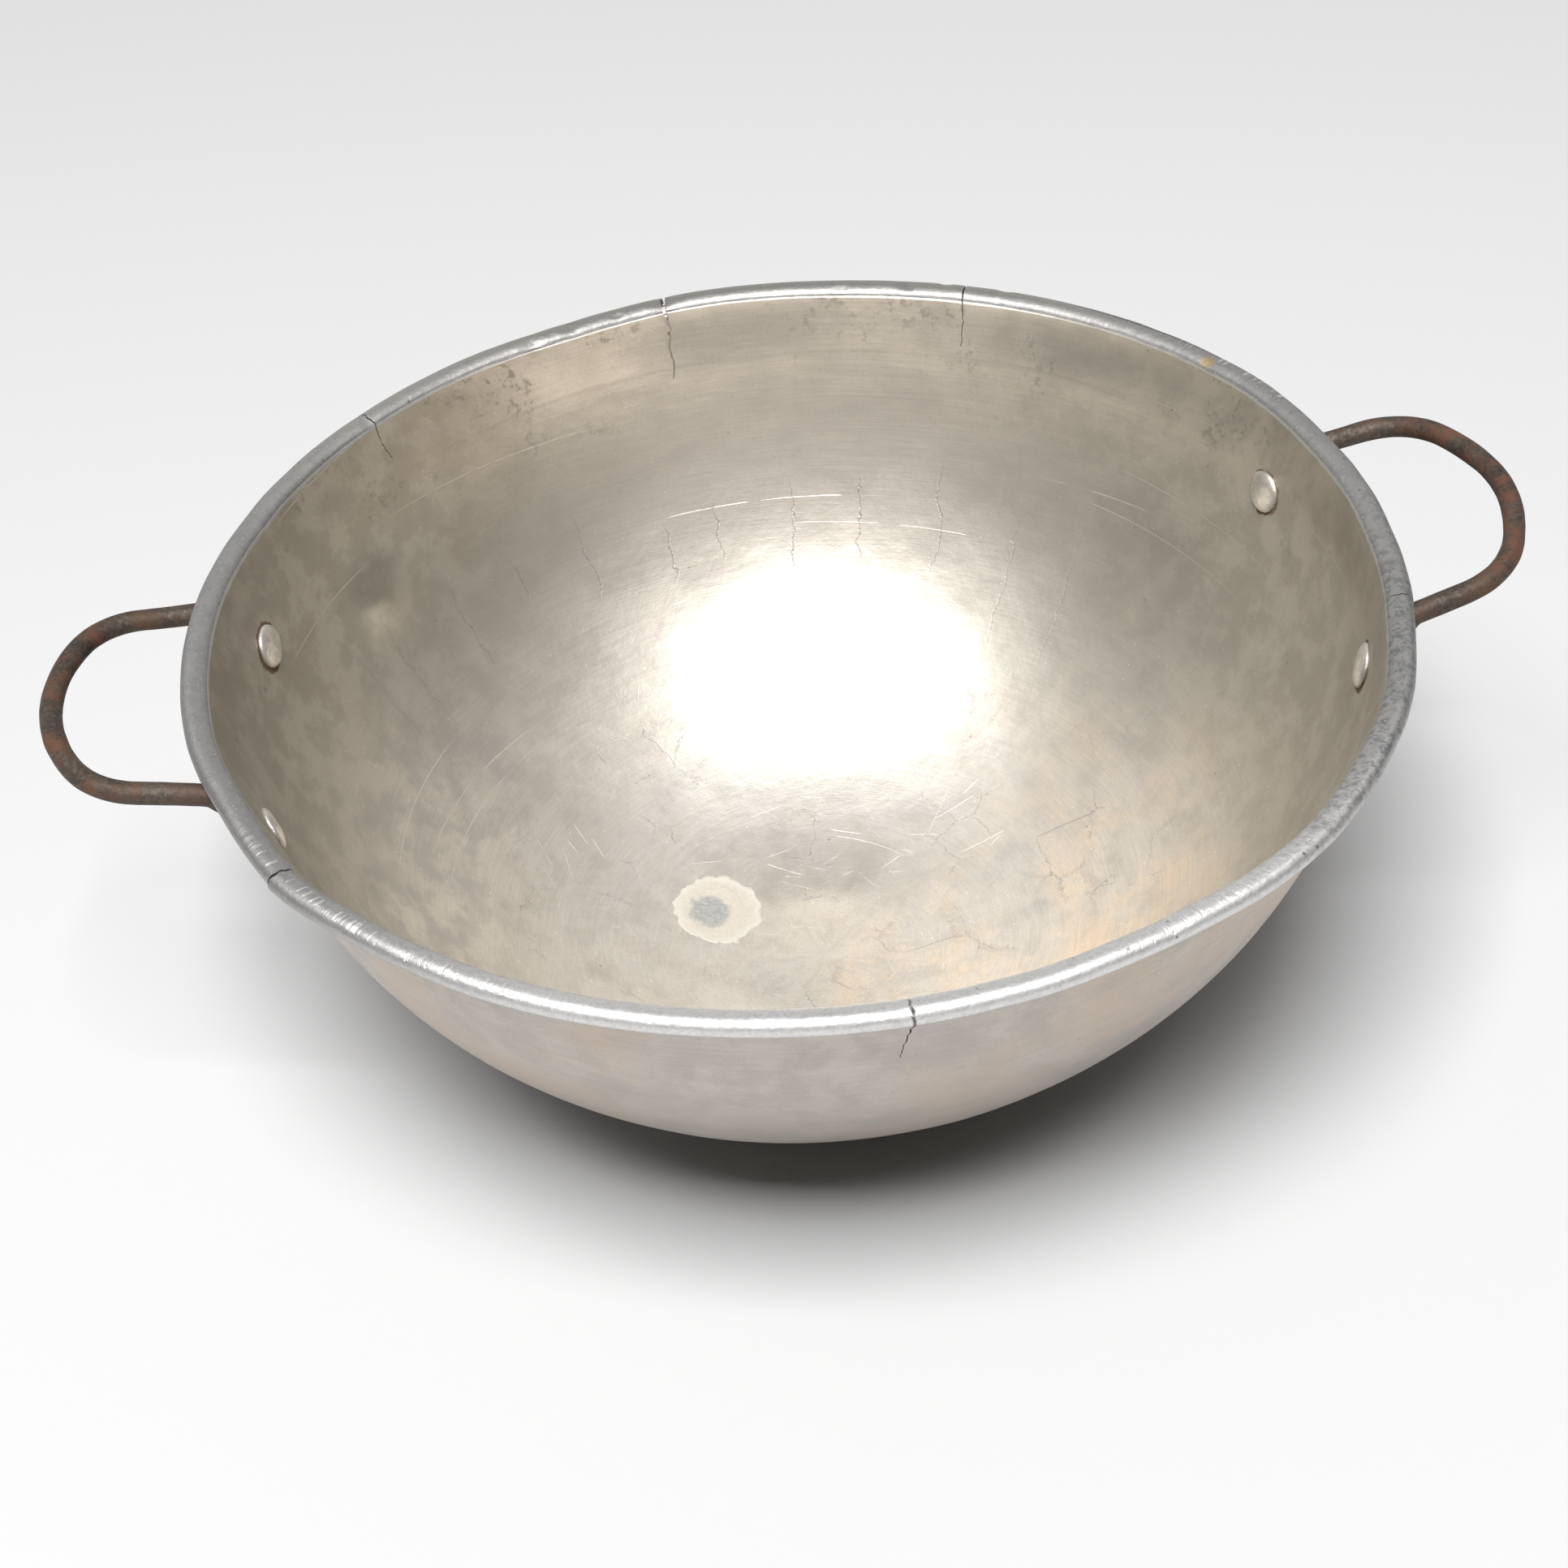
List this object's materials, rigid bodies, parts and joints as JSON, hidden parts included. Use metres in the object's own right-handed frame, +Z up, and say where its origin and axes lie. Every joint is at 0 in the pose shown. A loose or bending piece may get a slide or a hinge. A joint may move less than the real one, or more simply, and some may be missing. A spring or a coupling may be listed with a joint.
{
  "type": "round-bottomed kettle",
  "caption": "Round-bottomed aluminium kettle with a rolled rim and a riveted steel rod loop handle on each side.",
  "frame": {"origin": "centre of the small flat that the bowl rests on", "axes": "+Z up out of the bowl's mouth, the two handles lie along +X (right) and -X (left), -Y is the front"},
  "size_m": [0.4329, 0.3556, 0.1495],
  "materials": {
    "bowl": "old spun aluminium, satin, warm grey patina with scratches",
    "handle": "bare mild steel rod, dark brown rust patina",
    "rivet": "domed aluminium, worn satin"
  },
  "bodies": {
    "root": {"bowl": "bowl", "handle_right": "handle", "handle_left": "handle", "rivet_right_front": "rivet", "rivet_right_rear": "rivet", "rivet_left_front": "rivet", "rivet_left_rear": "rivet"}
  },
  "joints": []
}
